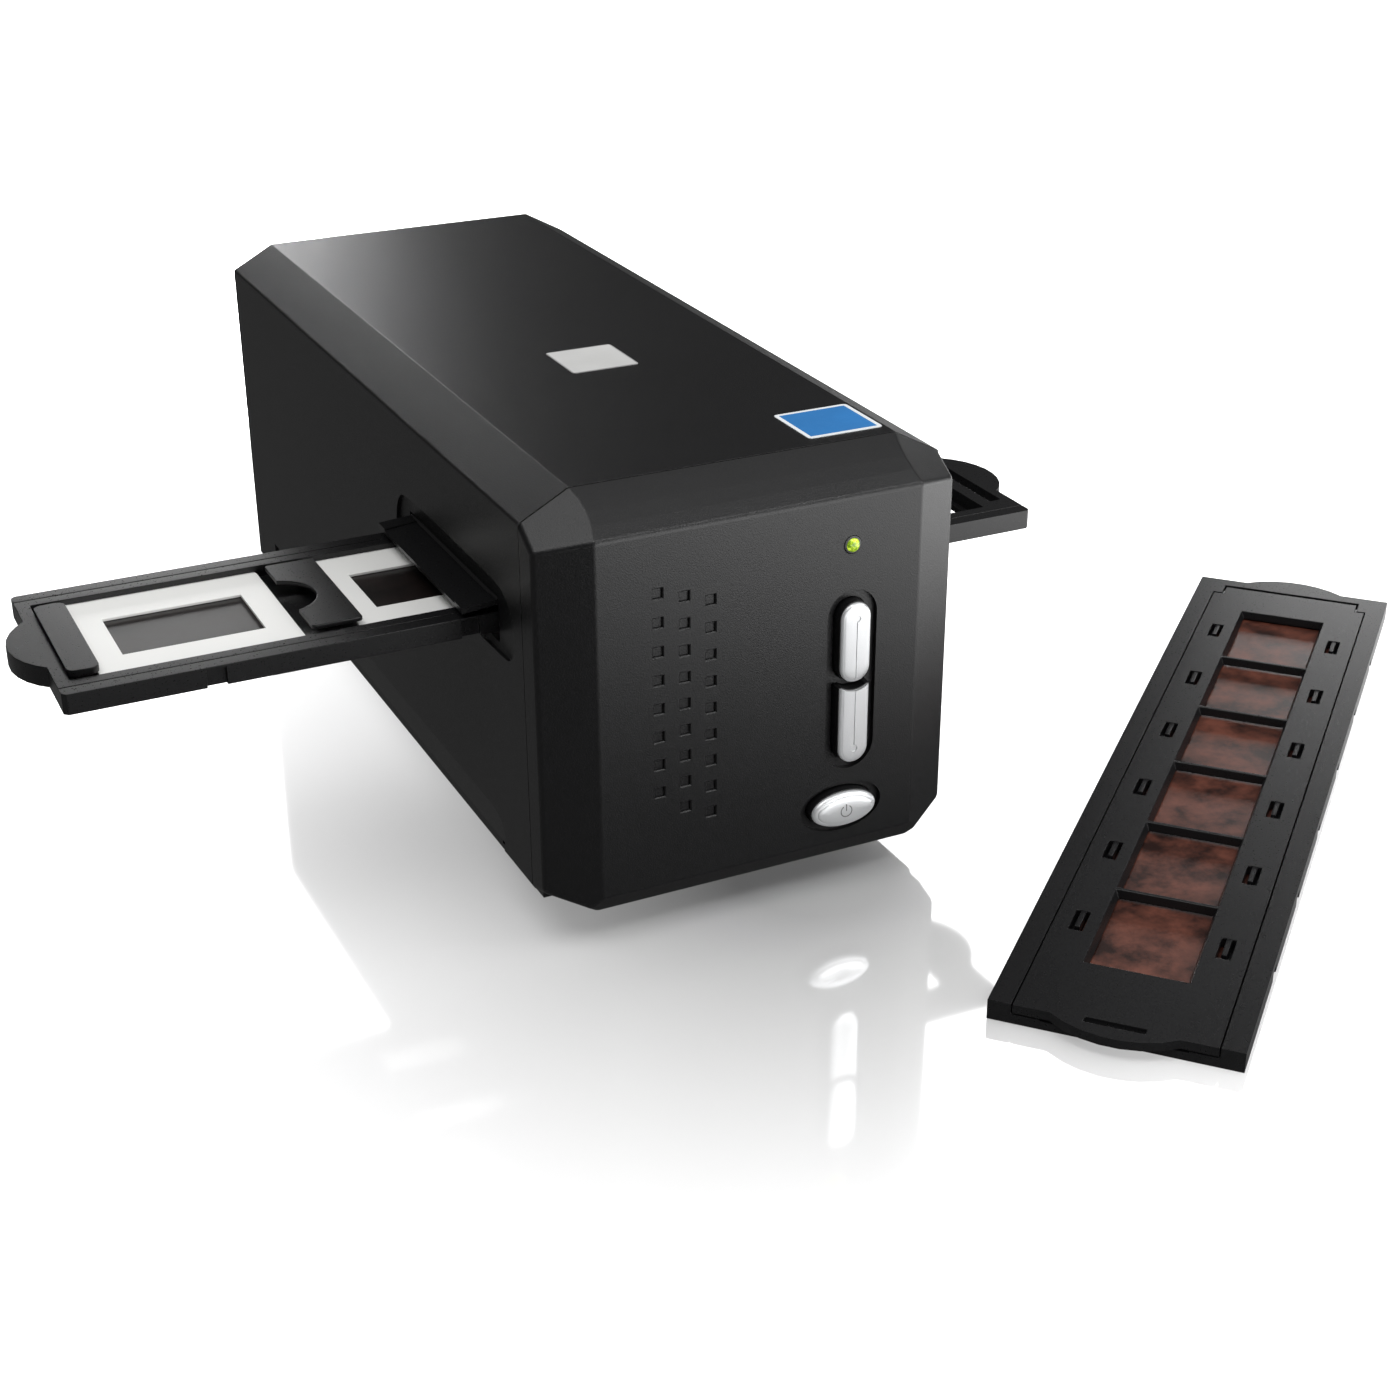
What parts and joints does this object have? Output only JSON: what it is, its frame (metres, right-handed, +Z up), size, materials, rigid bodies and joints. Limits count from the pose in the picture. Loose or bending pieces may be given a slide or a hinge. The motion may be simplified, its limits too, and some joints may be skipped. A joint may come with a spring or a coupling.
{
  "type": "film negative scanner",
  "caption": "Desktop 35 mm film scanner with a slide holder through its side slots, nested scan keys, an oval power key and a strip film holder with a hinged cover lying beside it",
  "frame": {"origin": "centre of the underside of the front rubber foot, on the table, midway between the side walls", "axes": "+X to the right of the front face as seen by a user in front, +Y toward the rear panel, +Z up from the table"},
  "size_m": [0.4384, 0.3739, 0.1187],
  "materials": {
    "case_black": "fine textured matte",
    "holder_black": "fine textured matte",
    "inner_black": "matte",
    "rubber_black": "matte",
    "steel": "satin",
    "lens_alloy": "anodised",
    "bronze": "satin",
    "opal": "matte",
    "board_green": "satin",
    "led_white": "gloss",
    "chip_black": "satin",
    "led_green": "gloss",
    "label_pale": "satin",
    "label_blue": "satin",
    "nut_white": "satin",
    "mirror_silver": "polished",
    "lens_glass": "polished",
    "key_silver": "satin metallic paint",
    "mount_white": "satin",
    "film_slide": "gloss",
    "film_strip": "gloss"
  },
  "bodies": {
    "housing": {"upper_case": "case_black", "front_bezel": "case_black", "rear_panel": "case_black", "base_pan": "case_black", "rubber_feet": "rubber_black", "case_screws": "steel", "chassis_screws": "steel", "film_deck": "inner_black", "click_spring": "steel", "chassis_frame": "inner_black", "guide_rods": "steel", "scan_motor": "steel", "lamp_bridge": "inner_black", "lamp_diffuser": "opal", "lamp_board": "board_green", "lamp_leds": "led_white", "main_board": "board_green", "usb_socket": "steel", "power_socket": "chip_black", "board_parts": "chip_black", "panel_board": "board_green", "tact_switches": "chip_black", "status_led": "led_green", "flap_pins": "steel", "top_label_pale": "label_pale", "top_label_blue": "label_blue"},
    "carriage": {"carriage_frame": "inner_black", "carriage_bushes": "bronze", "screw_nut": "nut_white", "fold_mirror": "mirror_silver", "lens_barrel": "lens_alloy", "lens_glass": "lens_glass", "lens_clamp": "steel", "sensor_board": "board_green", "line_sensor": "chip_black"},
    "lead_screw_body": {"lead_screw": "steel"},
    "upper_key": {"upper_scan_button": "key_silver"},
    "lower_key": {"lower_scan_button": "key_silver"},
    "power_key": {"power_button": "key_silver"},
    "left_flap": {"slot_flap_left": "holder_black"},
    "right_flap": {"slot_flap_right": "holder_black"},
    "slide_holder": {"slide_tray": "holder_black", "slide_bars": "holder_black", "slide_end_pad": "holder_black", "slide_mounts": "mount_white", "slide_films": "film_slide"},
    "strip_holder": {"strip_base": "holder_black", "strip_pins": "steel", "strip_film": "film_strip"},
    "strip_holder_cover": {"strip_cover": "holder_black"}
  },
  "joints": [
    {"name": "carriage_slide", "type": "slide", "parent": "housing", "child": "carriage", "axis": [0, 1, 0], "range_m": [-0.0125, 0.0125]},
    {"name": "lead_screw_turn", "type": "hinge", "parent": "housing", "child": "lead_screw_body", "pos_m": [0.0014, 0.1, 0.02702], "axis": [0, 1, 0], "range_deg": [-355, 355]},
    {"name": "upper_key_press", "type": "slide", "parent": "housing", "child": "upper_key", "axis": [0, 1, 0], "range_m": [0, 0.0008], "stiffness_N_per_m": 600},
    {"name": "lower_key_press", "type": "slide", "parent": "housing", "child": "lower_key", "axis": [0, 1, 0], "range_m": [0, 0.0008], "stiffness_N_per_m": 600},
    {"name": "power_key_press", "type": "slide", "parent": "housing", "child": "power_key", "axis": [0, 1, 0], "range_m": [0, 0.0008], "stiffness_N_per_m": 600},
    {"name": "left_flap_hinge", "type": "hinge", "parent": "housing", "child": "left_flap", "pos_m": [-0.0542, 0.0388, 0.08311], "axis": [0, 1, 0], "range_deg": [0, 20]},
    {"name": "right_flap_hinge", "type": "hinge", "parent": "housing", "child": "right_flap", "pos_m": [0.0542, 0.0388, 0.08311], "axis": [0, -1, 0], "range_deg": [0, 20]},
    {"name": "slide_holder_travel", "type": "slide", "parent": "housing", "child": "slide_holder", "axis": [1, 0, 0], "range_m": [-0.155, 0.127]},
    {"name": "strip_holder_lift", "type": "slide", "parent": "housing", "child": "strip_holder", "axis": [0, 0, 1], "range_m": [0, 0.04]},
    {"name": "strip_cover_hinge", "type": "hinge", "parent": "strip_holder", "child": "strip_holder_cover", "pos_m": [0.24427, 0.0617, 0.0036], "axis": [-0.6743, 0.7385, 0], "range_deg": [0, 105]}
  ],
  "couplings": [
    {"joint": "lead_screw_turn", "follows": "carriage_slide", "rad_per_m": 494}
  ]
}
